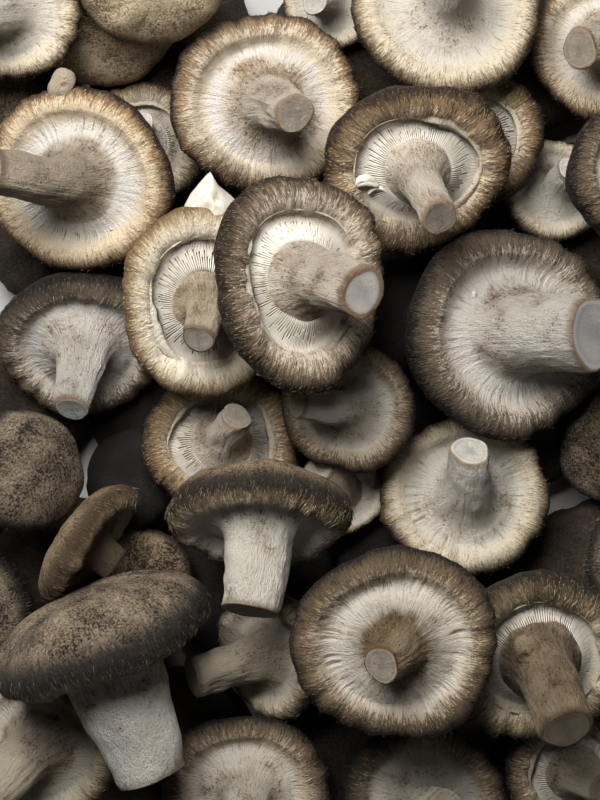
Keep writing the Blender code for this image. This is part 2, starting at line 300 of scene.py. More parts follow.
# %% [markdown]
# ## The fine surface
# A mushroom's skin is swept row by row, from the cap's top, over the rolled rim, across the veil or
# down to the gills' floor, up the stem and over the cut to its middle. `along` counts that way: 0 at
# the cap's top, 1 at its outer edge, 2 where the rim ends, 3 at the foot of the stem, 4 at the cut
# and 5 in the cut's middle. The finishes read it, so that each zone has its own colour. The relief
# is a sum of waves round the axis, so it closes without a seam: many narrow waves that drift a
# little give the fibres their grain, and few wide ones the folds and dents.

# %% The sweep
BED_SHARE = 1.05  # the bed's caps are soft and fill the gaps between them
CAP_SHARE = 0.985  # the fine rim is a true round, so it is kept a little inside the CAD's corners
# which share of the rows each zone has
BACK_ROWS, RIM_ROWS, VEIL_ROWS, STEM_ROWS = 0.2, 0.22, 0.22, 0.24
RIM_END = {True: 110, False: 165}  # how far the rim rolls, in degrees, with a veil and without one
# each row over the cut: its share of the cut's radius, how far past the stem's end it lies, `along`
CUT_ROWS = (
    (0.985, 0.22, 3.98), (0.95, 0.38, 4.03), (0.89, 0.42, 4.1), (0.78, 0.38, 4.25),
    (0.6, 0.3, 4.4), (0.42, 0.26, 4.6), (0.22, 0.25, 4.8)
)


def smooth(value, low, high):
    t = np.clip((value - low) / (high - low), 0, 1)
    return t * t * (3 - 2 * t)


def between(value, start, full, fading, end):
    """1 in a band, fading to 0 on both sides of it."""
    return smooth(value, start, full) * (1 - smooth(value, fading, end))


def waves(chance, angles, run, lowest, highest, drift, count=10):
    """Ripples round the axis, of whole numbers of waves, that change as they run inward."""
    total = np.zeros((len(run), len(angles)))
    for _ in range(count):
        number = chance.randint(lowest, highest)
        phase = chance.uniform(0, 2 * math.pi) + chance.gauss(0, 1) * drift * run[:, None]
        total += np.cos(number * angles[None, :] + phase)
    return total / math.sqrt(count / 2)


def sweep(shroom, around, rows):
    """The rows of points, in the mushroom's own frame in millimetres, with `along` for each row."""
    angles = turns(around)
    radius = shroom.width / 2 * (BED_SHARE if shroom.look in ("bed", "shade") else CAP_SHARE)
    roll = shroom.roll
    grid, along = [], []
    steps = int(rows * BACK_ROWS)
    for k in range(1, steps + 1):
        t = k / steps
        a = t * math.pi / 2
        grid.append(cap_points(shroom, math.sin(a) ** 0.9, -shroom.dome * math.cos(a), angles, radius))
        along.append(t)
    end = math.radians(RIM_END[shroom.veiled])
    steps = int(rows * RIM_ROWS)
    for k in range(1, steps + 1):
        a = end * k / steps
        out, up = 1 - roll + roll * math.cos(a), roll * math.sin(a)
        grid.append(cap_points(shroom, out, up, angles, radius))
        along.append(1 + k / steps)
    rim = grid[-1]
    foot = stem_points(shroom, 0, angles)
    if not shroom.veiled:
        foot = foot - np.array([0, 0, 0.08 * radius])
    outward = polar(angles) * radius
    lift = np.array([0, 0, radius])
    if shroom.veiled:
        first = cap_points(shroom, 0.64, 0.035, angles, radius)
        second = foot + 0.16 * outward - 0.085 * lift
    else:
        first = cap_points(shroom, 0.6, -0.20, angles, radius)
        second = foot + 0.14 * outward - 0.1 * lift
    steps = int(rows * VEIL_ROWS)
    for k in range(1, steps + 1):
        t = k / steps
        point = (1 - t) ** 3 * rim + 3 * t * (1 - t) ** 2 * first
        grid.append(point + 3 * t * t * (1 - t) * second + t**3 * foot)
        along.append(2 + t)
    steps = int(rows * STEM_ROWS)
    for k in range(1, steps + 1):
        t = k / steps
        share = 1 - (1 - t) ** 1.1
        grid.append(stem_points(shroom, share, angles, lumpy=min(1, 2 * share)))
        along.append(3 + t * 0.95)
    for shrink, beyond, mark in CUT_ROWS:
        grid.append(stem_points(shroom, 1, angles, shrink, beyond, lumpy=1))
        along.append(mark)
    return angles, np.array(grid), np.array(along)


def relief(shroom, angles, run, along):
    """How far the skin stands out at each point, in millimetres."""
    chance = random.Random(shroom.name + " relief")
    row = along[:, None]
    size = shroom.width / 55
    fuzz = FUZZ.get(shroom.name, USUAL_FUZZ)
    on_cap, on_rim = between(row, 0.0, 0.4, 1.9, 2.2), between(row, 0.8, 1.1, 1.9, 2.35)
    on_veil, on_stem = between(row, 2.0, 2.3, 2.85, 3.1), between(row, 2.9, 3.15, 3.93, 4.0)
    lumps = waves(chance, angles, run, 2, 7, 3.0, 8)
    folds = waves(chance, angles, run, 9, 24, 1.5, 12)
    fibres = waves(chance, angles, run, 30, 75, 2.5, 16)
    knobs = waves(chance, angles, run, 1, 4, 9.0, 14)
    pits = waves(chance, angles, run, 5, 14, 30.0, 18)
    high = on_cap * (0.35 * lumps + 0.10 * folds) * size
    high = high + on_rim * (0.14 * folds + 0.07 * fuzz * fibres) * size
    high = high + on_veil * (0.20 * lumps + 0.05 * folds + 0.05 * fibres) * size
    deep = smooth(waves(chance, angles, run, 26, 60, 1.2, 20), 0.9, 1.7)
    gap = between(row, 2.15, 2.4, 2.65, 2.95)
    high = high - deep * gap * 1.1 * SLITS.get(shroom.name, 0.06)
    rough = min(1.1, shroom.stem[1] / 8)
    wood = 0.26 * knobs + 0.03 * folds + 0.02 * fibres + 0.1 * pits
    high = high + on_stem * wood * rough - on_stem * smooth(pits, 1.2, 2.2) * 0.3 * rough
    return high


def closed(rows, around, low, high):
    """The faces of rows of points round an axis, closed at one point before them and one after."""
    index = np.arange(rows * around).reshape(rows, around)
    beside = np.roll(index, -1, 1)
    faces = np.stack([index[:-1], beside[:-1], beside[1:], index[1:]], 2).reshape(-1, 4).tolist()
    faces += [[low, int(b), int(a)] for a, b in zip(index[0], beside[0])]
    return faces + [[int(a), int(b), high] for a, b in zip(index[-1], beside[-1])]


def skin(shroom, around, rows):
    """Points, faces and marks of the whole skin, closed at the cap's top and in the cut's middle."""
    angles, grid, along = sweep(shroom, around, rows)
    radius = shroom.width / 2
    middle = grid.mean(1)
    steps = np.linalg.norm(np.diff(grid, axis=0), axis=2).mean(1)
    run = np.concatenate([[0], np.cumsum(steps)]) / radius
    across = np.roll(grid, -1, 1) - np.roll(grid, 1, 1)
    down = np.gradient(grid, axis=0)
    normal = np.cross(across, down)
    normal /= np.linalg.norm(normal, axis=2)[..., None] + 1e-9
    grid = grid + normal * relief(shroom, angles, run, along)[..., None]
    down = np.gradient(grid, axis=0)
    down /= np.linalg.norm(down, axis=2)[..., None] + 1e-9
    count = len(grid)
    ends = [[0, 0, -shroom.dome * radius * CAP_SHARE], middle[-1]]
    points = np.concatenate([grid.reshape(-1, 3), ends])
    faces = closed(count, around, count * around, count * around + 1)
    mark = np.concatenate([polar(angles, height=depth) for depth in run])
    marks = {
        "along": np.concatenate([np.repeat(along, around), [0, 5]]),
        "around": np.concatenate([mark, [[0, 0, 0], [0, 0, run[-1]]]]),
        "grain": np.concatenate([down.reshape(-1, 3), [[1, 0, 0], [1, 0, 0]]]),
    }
    return points, faces, marks


print("the sweep has five zones and closes at both ends")

# %% [markdown]
# ## Finishes
# All colours come from procedural nodes. Shader arithmetic is written as Python expressions with the
# `Sum` class, and every node is made by one method. Colours are given as they look on a screen, 0 to
# 255, and turned into linear light. Streaks come from noise that is squeezed round the axis and
# stretched along the radius: that is how the skin of a shiitake tears when the cap opens.

# %% Tools for the finishes
def rgb(red, green, blue):
    return tuple((part / 255) ** 2.2 for part in (red, green, blue)) + (1,)


class Nodes:
    """A node tree that nodes are added to, with their inputs set or linked."""

    def __init__(self, tree):
        self.tree = tree

    def add(self, kind, inputs=None, **settings):
        node = self.tree.nodes.new(kind)
        for name, value in settings.items():
            setattr(node, name, value)
        for key, value in (inputs or {}).items():
            self.put(node.inputs[key], value)
        return node

    def put(self, socket, value):
        value = value.socket if isinstance(value, Sum) else value
        if isinstance(value, bpy.types.NodeSocket):
            self.tree.links.new(value, socket)
        else:
            socket.default_value = value


class Sum:
    """A number in a node tree, so that its arithmetic can be written as Python."""

    def __init__(self, finish, socket):
        self.finish, self.socket = finish, socket

    def of(self, operation, *others):
        inputs = dict(enumerate((self, *others)))
        return Sum(self.finish, self.finish.add("ShaderNodeMath", inputs, operation=operation).outputs[0])

    def __add__(self, other):
        return self.of("ADD", other)

    def __sub__(self, other):
        return self.of("SUBTRACT", other)

    def __rsub__(self, other):
        return self * -1 + other

    def __mul__(self, other):
        return self.of("MULTIPLY", other)

    __radd__, __rmul__ = __add__, __mul__

    def step(self, low, high):
        """0 below low, 1 above high, and a soft rise between them."""
        inputs = {0: self, 1: low, 2: high}
        node = self.finish.add("ShaderNodeMapRange", inputs, interpolation_type="SMOOTHSTEP")
        return Sum(self.finish, node.outputs[0])


class Finish(Nodes):
    """A material that is built up from named steps."""

    def __init__(self, name, mean, roughness=0.7):
        self.material = bpy.data.materials.new(name)
        self.material.use_nodes = True
        super().__init__(self.material.node_tree)
        self.shader = self.tree.nodes["Principled BSDF"]
        self.shader.inputs["Base Color"].default_value = mean
        self.shader.inputs["Roughness"].default_value = roughness
        self.shader.inputs["Specular IOR Level"].default_value = 0.3

    def number(self, name):
        return Sum(self, self.add("ShaderNodeAttribute", attribute_name=name).outputs["Fac"])

    def vector(self, name):
        return self.add("ShaderNodeAttribute", attribute_name=name).outputs["Vector"]

    def place(self):
        return self.add("ShaderNodeTexCoord").outputs["Object"]

    def noise(self, vector, scale, detail=2.0, rough=0.5):
        """Noise with its own scale along each of the vector's parts."""
        if not isinstance(scale, tuple):
            scale = (scale,) * 3
        squeezed = self.add("ShaderNodeVectorMath", {0: vector, 1: scale}, operation="MULTIPLY")
        inputs = {"Vector": squeezed.outputs[0], "Scale": 1.0, "Detail": detail, "Roughness": rough}
        return Sum(self, self.add("ShaderNodeTexNoise", inputs).outputs[0])

    def ripple(self, vector, scale, detail=2.0, rough=0.5, size=2):
        """Noise that lies round 0."""
        return (self.noise(vector, scale, detail, rough) - 0.5) * size

    def blend(self, first, second, share, kind="MIX"):
        inputs = {0: share, 6: first, 7: second}
        return self.add("ShaderNodeMix", inputs, data_type="RGBA", blend_type=kind).outputs[2]

    def finish(self, colour, height, strength=0.5, distance=0.0004, rough=None):
        bump = {"Height": height, "Strength": strength, "Distance": distance}
        self.put(self.shader.inputs["Base Color"], colour)
        self.put(self.shader.inputs["Normal"], self.add("ShaderNodeBump", bump).outputs[0])
        if rough is not None:
            self.put(self.shader.inputs["Roughness"], rough)
        return self.material


# %% [markdown]
# ## Flesh and skin
# One finish covers a whole mushroom. On the cap's back the skin is brown with pale flecks. At the
# outer edge it is darkest, partly with its own dark brown and partly with painted shade where the
# rim rolls over, and over the rim it breaks into brown tufts on pale flesh, until only the white
# veil is left. The stem is cream, with brown patches and specks that are thickest at its foot, and
# the cut is a greyer disc inside a brown ring. Sixteen looks share these steps, each with its own
# colours; two of them, shade and bed, are darkened as painted shade for the mushrooms under the heap,
# and one, sleek, has its veil and stem darkened as painted shade. The noises lie round 0. `fine`,
# `grain`, `tuft`, `slit` and `rib` are drawn out along the radius, and `patch`, `felt` and `speck`
# are the same in every direction. Each colour is laid over the one before it, where a sum of noises,
# or of noises and `along`, passes a step. Last, the pits of the felt are darkened as painted shade.

# %% Flesh finishes
@dataclass
class Look:
    """How one kind of mushroom is coloured. Places are values of `along`."""

    # edge is the skin's own dark brown, and is also laid as painted shade where the rim rolls over
    edge: tuple  # the cap's outer edge, its darkest part
    rim: tuple
    pale: tuple  # flesh where the skin is torn open
    veil: tuple
    stem: tuple
    bark: tuple  # stains and rinds
    cut: tuple
    fade: float  # where the rim's brown gives way to pale flesh
    inward: float  # how much further in than the rim's end the veil starts
    brown: float  # how stained the stem is
    late: float = 0  # how much further up than its foot the stem's own colour starts
    rind: float = 0  # how much wider than usual the brown ring round the cut is

    def colours(self, *names):
        return [rgb(*getattr(self, name)) for name in names]


LOOKS = {
    "tan": Look(
        (36, 24, 14), (138, 113, 83), (195, 181, 158), (196, 189, 180),
        (203, 191, 172), (120, 88, 54), (142, 132, 118), 1.78, 0.3, 0.55
    ),
    "mottled": Look(
        (34, 25, 17), (126, 107, 82), (182, 170, 153), (166, 161, 150),
        (195, 182, 162), (98, 70, 42), (186, 181, 172), 1.64, 0.0, 0.6, rind=0.2
    ),
    "cream": Look(
        (98, 77, 51), (197, 175, 136), (209, 198, 177), (190, 182, 168),
        (181, 164, 138), (96, 74, 51), (188, 178, 162), 1.45, -0.2, 0.6, rind=0.08
    ),
    "gold": Look(
        (36, 24, 14), (152, 125, 90), (193, 176, 148), (188, 183, 174),
        (164, 149, 129), (82, 67, 51), (160, 147, 130), 1.7, 0.1, 0.5
    ),
    "dark": Look(
        (21, 16, 12), (92, 80, 64), (171, 161, 147), (180, 175, 166),
        (190, 183, 171), (104, 76, 50), (176, 174, 169), 1.98, 0.25, 0.52
    ),
    "brown": Look(
        (22, 17, 12), (97, 82, 63), (160, 146, 124), (175, 168, 155),
        (189, 180, 163), (94, 75, 52), (142, 133, 118), 1.9, 0.15, 0.48
    ),
    "skirted": Look(
        (26, 20, 14), (124, 106, 81), (164, 151, 130), (196, 189, 177),
        (205, 197, 182), (110, 90, 64), (142, 133, 118), 1.7, -0.3, 0.36
    ),
    "haloed": Look(
        (23, 17, 12), (97, 81, 61), (162, 147, 123), (179, 172, 159),
        (144, 126, 98), (84, 61, 34), (148, 138, 122), 1.96, 0.0, 0.85, late=0.12
    ),
    "umber": Look(
        (18, 13, 10), (110, 96, 78), (182, 171, 148), (175, 168, 155),
        (210, 204, 192), (104, 91, 76), (58, 54, 49), 1.9, 0.1, 0.5
    ),
    # painted shade: this look's veil, stem and cut are dark, so the stem of the edge-on mushroom sinks
    # into shade under its cap
    "sleek": Look(
        (58, 45, 31), (124, 106, 82), (162, 149, 128), (99, 88, 72),
        (85, 73, 56), (51, 41, 30), (70, 62, 50), 1.9, 0.1, 0.5
    ),
    "grey": Look(
        (34, 27, 19), (133, 115, 89), (178, 165, 145), (179, 172, 159),
        (172, 160, 139), (92, 70, 46), (124, 114, 99), 1.7, 0.1, 0.55
    ),
    "woody": Look(
        (33, 26, 18), (129, 111, 82), (180, 167, 146), (180, 175, 162),
        (136, 119, 94), (70, 52, 32), (120, 109, 93), 1.75, 0.1, 0.75, rind=0.06
    ),
    "pale": Look(
        (47, 36, 24), (157, 137, 106), (190, 179, 158), (180, 174, 162),
        (207, 199, 185), (124, 104, 80), (198, 192, 182), 1.65, 0.1, 0.42
    ),
    "fleecy": Look(
        (103, 86, 62), (188, 168, 136), (221, 212, 195), (196, 189, 176),
        (199, 189, 171), (118, 97, 71), (176, 167, 150), 1.5, 0.1, 0.4
    ),
    # painted shade: the bed under the heap is coloured darker than any real cap, dark brown round its
    # edge (shade) and nearly black in its middle (bed), so the gaps between the caps above read as deep
    # shade
    "shade": Look(
        (24, 18, 13), (52, 42, 31), (92, 78, 60), (130, 122, 108),
        (124, 115, 100), (66, 54, 41), (100, 90, 76), 1.9, 0.1, 0.45
    ),
    "bed": Look(
        (11, 8, 6), (27, 22, 17), (44, 38, 31), (96, 90, 80),
        (90, 84, 74), (48, 40, 31), (76, 69, 59), 1.9, 0.1, 0.45
    ),
}


def flesh(name):
    look = LOOKS[name]
    edge, rim, pale, veil = look.colours("edge", "rim", "pale", "veil")
    stem, bark, cut, fade = *look.colours("stem", "bark", "cut"), look.fade
    made = Finish(f"{name}_flesh", rim)
    along, around, place = made.number("along"), made.vector("around"), made.place()
    fine = made.ripple(around, (44, 44, 7), 5, 0.62, 2.2)
    tuft = made.ripple(around, (11, 11, 4), 4, 0.6)
    patch = made.ripple(place, 105, 4, 0.6)
    speck = made.ripple(place, 1000, 2, 0.6)
    felt = made.ripple(place, 1300, 4, 0.75, 2.4)
    grain = made.ripple(around, (22, 22, 14), 4, 0.7)
    slit = made.ripple(around, (34, 34, 3.2), 1)
    # the cap's back: felted skin with paler flecks, and streaks only towards the edge
    streaks = fine * along.step(0.2, 1.0)
    back = made.blend(edge, rim, (felt * 0.8 + patch * 0.6 + streaks * 0.7).step(-0.3, 0.2))
    back = made.blend(back, pale, (felt * 0.9 + patch * 0.6 + streaks * 0.7).step(0.16, 0.7) * 0.62)
    # over the edge and inward: nearly black at the very edge, partly dark skin and partly painted shade,
    # then tufts of brown on paler flesh
    zone = along + tuft * 0.35 + fine * 0.25 + felt * 0.12
    skin = made.blend(edge, rim, zone.step(1.0, 1.35))
    tufts = along - fade + fine * 0.85 + tuft * 0.35 + felt * 0.4
    skin = made.blend(skin, pale, tufts.step(-0.2, 0.16) * 0.94)
    skin = made.blend(skin, rim, (grain + fine * 0.6).step(0.26, 0.46) * (1 - zone.step(1.7, 2.6)) * 0.85)
    blotch = patch * 0.9 + tuft * 0.5 + fine * 0.35 + felt * 0.3
    skin = made.blend(skin, edge, blotch.step(0.2, 0.45) * (1 - zone.step(fade - 0.3, fade + 0.5)) * 0.8)
    # one side of most caps is darker than the other
    side = made.ripple(place, 24, 1, size=3.4) + felt * 0.2 + tuft * 0.3 + fine * 0.25
    skin = made.blend(skin, edge, side.step(0.1, 0.8) * (1 - zone.step(fade - 0.1, fade + 0.7)) * 0.72)
    dark = (fine + grain * 0.5 + felt * 0.2).step(0.3, 0.6) * along.step(0.95, 1.1)
    skin = made.blend(skin, edge, dark * (1 - zone.step(1.6, fade + 0.8)) * 0.5)
    skin = made.blend(back, skin, along.step(0.88, 1.1))
    # the rolled outer edge darkened nearly to black: the skin's own dark brown and painted shade where
    # the rim rolls over
    dark_edge_and_shade = along + fine * 0.34 + patch * 0.1 + felt * 0.12
    skin = made.blend(skin, edge, dark_edge_and_shade.step(0.7, 0.94) * (1 - dark_edge_and_shade.step(1.12, 1.78)) * 0.94)
    # the veil, with faint ribs, slits and a few cream stains
    white = made.blend(veil, pale, (patch * 0.7 + fine * 0.6 + felt * 0.3).step(-0.2, 0.7) * 0.6)
    white = made.blend(white, rim, (speck * 0.9 + patch * 0.6).step(0.42, 0.56) * 0.5)
    rib = made.ripple(around, (84, 84, 1.6), 2)
    white = made.blend(white, bark, rib.step(0.05, 0.4) * 0.34)
    band = (along + fine * 0.4).step(2.05, 2.3) * (1 - (along + fine * 0.4).step(2.55, 2.8))
    white = made.blend(white, bark, slit.step(0.24, 0.34) * band * 0.7)
    rust = patch * 1.0 + felt * 0.45 + grain * 0.35
    white = made.blend(white, bark, rust.step(0.14, 0.5) * (along + tuft * 0.25).step(2.4, 2.75) * 0.72)
    reach = along - look.inward + tuft * 0.45 + fine * 0.35 + felt * 0.1
    skin = made.blend(skin, white, reach.step(1.95, 2.45))
    # the stem: brown stains and clusters of specks, thickest near its foot
    foot = 1 - (along - 3.0).step(0.0, 0.6)
    stain = patch * 0.8 + grain * 0.5 + felt * 0.35 + tuft * 0.3 + foot * 0.25 + look.brown - 0.5
    wood = made.blend(stem, bark, stain.step(-0.1, 0.75) * 0.75)
    wood = made.blend(wood, edge, (speck + stain * 0.45).step(0.3, 0.46) * 0.65)
    wood = made.blend(wood, bark, rust.step(0.1, 0.5) * 0.5)
    wood = made.blend(wood, pale, (felt + fine * 0.5).step(0.1, 0.7) * 0.35)
    start = along + patch * 0.16 + tuft * 0.1 + fine * 0.05 - look.late
    skin = made.blend(skin, wood, start.step(2.84, 3.08))
    # the cut, in a brown rind
    face = made.blend(cut, bark, (patch * 0.7 + speck * 0.5 + felt * 0.3).step(0.1, 0.8) * 0.45)
    ring = (along + patch * 0.1).step(4.16, 4.24) * (1 - (along + patch * 0.1).step(4.28, 4.4))
    face = made.blend(face, bark, ring * 0.22)
    skin = made.blend(skin, bark, (along + patch * 0.03).step(3.86, 3.96) * 0.8)
    within = along + patch * 0.06 + felt * 0.03 - look.rind
    skin = made.blend(skin, face, within.step(4.02, 4.1))
    # painted shade in the pits of the felt, so that its grain is seen in flat light too
    shade = 1 - (felt * -0.6 + fine * -0.35 + speck * -0.3).step(0.0, 0.7) * 0.42
    grey = made.add("ShaderNodeCombineXYZ", {0: shade, 1: shade, 2: shade}).outputs[0]
    skin = made.blend(skin, grey, 1.0, "MULTIPLY")
    stalk = along.step(2.9, 3.2) * (1 - along.step(3.9, 4.0))
    height = fine * 0.34 + grain * 0.2 + felt * 0.42 + speck * 0.16 + stalk * (grain * 0.9 + felt * 0.3)
    return made.finish(skin, height, 1.0, 0.0008, 0.72 - fine * 0.1)


def fibre(name):
    look = LOOKS[name]
    edge, rim, pale = look.colours("edge", "rim", "pale")
    made = Finish(f"{name}_fibres", rim, 0.85)
    along, tint = made.number("along"), made.number("tint")
    colour = made.blend(edge, rim, (along - 1 + tint).step(0.3, 1.3))
    colour = made.blend(colour, pale, (along - look.fade + tint).step(0.55, 0.75) * 0.8)
    return made.finish(colour, tint)


def gill():
    made = Finish("gills", rgb(196, 188, 175), 0.7)
    around, along = made.vector("around"), made.number("along")
    fine = made.noise(around, (30, 30, 2), 3)
    patch = made.noise(made.place(), 160, 3)
    stained = (fine * 0.6 + patch * 0.6).step(0.5, 0.8) * 0.6
    colour = made.blend(rgb(196, 190, 178), rgb(164, 149, 126), stained)
    colour = made.blend(colour, rgb(128, 106, 80), (1 - along.step(2.1, 2.3)) * 0.4)
    return made.finish(colour, fine, 0.3, 0.0002)


def crumb():
    made = Finish("crumbs", rgb(236, 226, 202), 0.6)
    lumps = made.noise(made.place(), 500, 3)
    colour = made.blend(rgb(182, 176, 164), rgb(156, 136, 102), lumps.step(0.5, 0.72) * 0.7)
    return made.finish(colour, lumps)


FLESH = {name: flesh(name) for name in LOOKS}
FIBRES = {name: fibre(name) for name in LOOKS}
GILLS, CRUMBS = gill(), crumb()
print(len(bpy.data.materials), "finishes")

# %% [markdown]
# ## Gills
# Where the veil has torn away, a shiitake shows its gills: thin blades that run inward from the rim,
# every second one or so too short to reach the stem. Geometry Nodes sets closed blades round a circle
# with a fixed seed. Python then bends that flat wheel to each cap's own outline.

# %% The gill wheel
class Tree(Nodes):
    """A geometry node tree with named inputs."""

    def __init__(self, name, sockets):
        super().__init__(bpy.data.node_groups.new(name, "GeometryNodeTree"))
        for label, kind in {"Geometry": "Geometry", **sockets}.items():
            self.tree.interface.new_socket(label, in_out="INPUT", socket_type="NodeSocket" + kind)
        self.tree.interface.new_socket("Geometry", in_out="OUTPUT", socket_type="NodeSocketGeometry")
        self.given = self.tree.nodes.new("NodeGroupInput").outputs
        self.made = self.tree.nodes.new("NodeGroupOutput").inputs[0]

    def one(self, kind, inputs=None, **settings):
        """The first output of a new node."""
        return self.add(kind, inputs, **settings).outputs[0]

    def maths(self, operation, first, second):
        return self.one("ShaderNodeMath", {0: first, 1: second}, operation=operation)

    def vector(self, x=0.0, y=0.0, z=0.0):
        return self.one("ShaderNodeCombineXYZ", {0: x, 1: y, 2: z})

    def chance(self, low, high, seed):
        inputs = {2: low, 3: high, "Seed": seed}
        return self.add("FunctionNodeRandomValue", inputs, data_type="FLOAT").outputs[1]

    def scatter(self, points, instance, rotation, scale):
        inputs = {"Points": points, "Instance": instance, "Rotation": rotation, "Scale": scale}
        return self.one("GeometryNodeInstanceOnPoints", inputs)

    def clad(self, instances, material):
        """Instances made real, with a material on them."""
        real = self.one("GeometryNodeRealizeInstances", {0: instances})
        return self.one("GeometryNodeSetMaterial", {"Geometry": real, "Material": material})


def through(tree, mesh, values):
    """What the tree makes of a mesh, as a new plain mesh."""
    holder = bpy.data.objects.new("holder", mesh)
    bpy.context.scene.collection.objects.link(holder)
    modifier = holder.modifiers.new("grown", "NODES")
    modifier.node_group = tree
    for item in tree.interface.items_tree:
        if item.item_type == "SOCKET" and item.in_out == "INPUT" and item.name in values:
            modifier[item.identifier] = values[item.name]
    seen = holder.evaluated_get(bpy.context.evaluated_depsgraph_get())
    made = bpy.data.meshes.new_from_object(seen)
    bpy.data.objects.remove(holder)
    return made


BLADE_SWAY = 0.008  # how far a blade strays from its even place, in radians
SHORT_BLADES = (0.3, 0.8)  # how much of the way every second blade reaches
BLADE_THICKNESS = 0.2  # in millimetres
BLADES_PER_MM = 8.6  # of the cap's radius


def gill_tree():
    sockets = {"Count": "Int", "Inner": "Float", "Outer": "Float", "Thickness": "Float", "Seed": "Int"}
    tree = Tree("gill_wheel", sockets)
    given = tree.given
    wheel = tree.one("GeometryNodeMeshCircle", {0: given["Count"], 1: given["Outer"]})
    size = tree.vector(1.0, given["Thickness"], 1.0)
    blade = tree.one("GeometryNodeMeshCube", {"Vertices X": 8, "Size": size})
    inward = tree.one("GeometryNodeTransform", {0: blade, "Translation": (-0.5, 0, 0)})
    place = tree.add("ShaderNodeSeparateXYZ", {0: tree.one("GeometryNodeInputPosition")}).outputs
    angle = tree.maths("ARCTAN2", place[1], place[0])
    turned = tree.vector(z=tree.maths("ADD", angle, tree.chance(-BLADE_SWAY, BLADE_SWAY, given["Seed"])))
    whole = tree.maths("SUBTRACT", given["Outer"], given["Inner"])
    odd = tree.maths("MODULO", tree.one("GeometryNodeInputIndex"), 2.0)
    part = tree.chance(*SHORT_BLADES, given["Seed"])
    share = tree.one("ShaderNodeMix", {0: odd, 2: 1.0, 3: part}, data_type="FLOAT")
    scale = tree.vector(tree.maths("MULTIPLY", whole, share), 1.0, 1.0)
    tree.put(tree.made, tree.clad(tree.scatter(wheel, inward, turned, scale), GILLS))
    return tree.tree


GILL_TREE = gill_tree()


def gills_of(shroom):
    """Gill blades bent to the cap, as points, faces and marks in the mushroom's own frame."""
    radius = shroom.width / 2
    flare = min(shroom.flare, 0.48 * radius - shroom.stem[1])
    inner = (shroom.stem[1] + flare) / radius * 0.86
    outer = 1 - 1.93 * shroom.roll
    values = {"Count": int(radius * BLADES_PER_MM), "Inner": inner, "Outer": outer}
    values |= {"Thickness": BLADE_THICKNESS / radius, "Seed": len(shroom.name)}
    wheel = through(GILL_TREE, bpy.data.meshes.new("wheel"), values)
    flat = np.zeros(len(wheel.vertices) * 3)
    wheel.vertices.foreach_get("co", flat)
    flat = flat.reshape(-1, 3)
    faces = [list(face.vertices) for face in wheel.polygons]
    angles = np.arctan2(flat[:, 1], flat[:, 0])
    out = np.hypot(flat[:, 0], flat[:, 1])
    share = np.clip((out - inner) / (outer - inner), 0, 1)
    reach, rise = wobble(shroom, angles)
    crest = 0.13 - 0.15 * smooth(share, 0.0, 0.75) + 0.02 * smooth(share, 0.8, 1.0)
    depth = 0.085 + 0.02 * np.sin(math.pi * share)
    height = radius * (crest + (flat[:, 2] - 0.5) * depth + rise * out**2)
    points = polar(angles, radius * out * reach, height)
    around = polar(angles, height=1.6 - share * 0.3)
    return points, faces, {"along": 2.95 - 0.9 * share, "around": around, "grain": -polar(angles)}


print("the gill wheel is ready")

# %% [markdown]
# ## Torn veil
# The veil joined the rim to the stem until the cap opened. What is left of it hangs from the rim as a
# thin ragged strip. It is a closed ribbon: five points round, with a width that waves along the rim.

# %% The ribbon
RIBBON_POINTS = 320
RIBBON_THICKNESS = 0.13  # half of it, in millimetres


def ribbon_of(shroom, width):
    chance = random.Random(shroom.name + " ribbon")
    around, thick = RIBBON_POINTS, RIBBON_THICKNESS
    angles = turns(around)
    radius = shroom.width / 2
    roll = shroom.roll
    run = np.zeros(1)
    wide = waves(chance, angles, run, 1, 3, 0, 4)[0] + 0.1 * waves(chance, angles, run, 9, 20, 0, 8)[0]
    wide = width * np.clip(0.3 + 0.6 * wide, 0.1, 1.6)
    curl = waves(chance, angles, run, 2, 7, 0, 8)[0] * 0.22
    base = cap_points(shroom, 1 - 1.94 * roll, 0.5 * roll, angles, radius)
    inward = -polar(angles)
    rise = np.array([0, 0, 1.0])

    def row(share, lift, side):
        height = (lift + curl * share) * wide * share + side
        return base + inward * (share * wide)[:, None] + rise * height[:, None]

    under = [row(-0.25, 0, -thick), row(0.5, 0.25, -thick)]
    over = [row(1.0, 0.05, 0 * wide), row(0.5, 0.25, thick), row(-0.25, 0, thick)]
    grid = np.stack(under + over)
    count = len(grid)
    index = np.arange(count * around).reshape(count, around)
    below = np.roll(index, -1, 0)
    quads = np.stack([index, np.roll(index, -1, 1), np.roll(below, -1, 1), below], 2).reshape(-1, 4)
    marks = {
        "along": np.full(count * around, 2.12),
        "around": np.tile(polar(angles, height=1.5), (count, 1)),
        "grain": np.tile(inward, (count, 1)),
    }
    return grid.reshape(-1, 3), quads.tolist(), marks


print("ribbons for", len(TORN), "mushrooms")

# %% [markdown]
# ## Fibres
# The rim's skin is drawn out into short fibres that lie almost flat and point inward. Geometry Nodes
# scatters them where `along` says that the rim is, turns each one along the grain, lifts it a little
# from the surface and joins them to the mushroom. A fibre is a closed spike of four triangles.

# %% The fibre tree
ON_RIM = (0.9, 2.05)  # between which values of `along` fibres grow
STRAY = 0.3


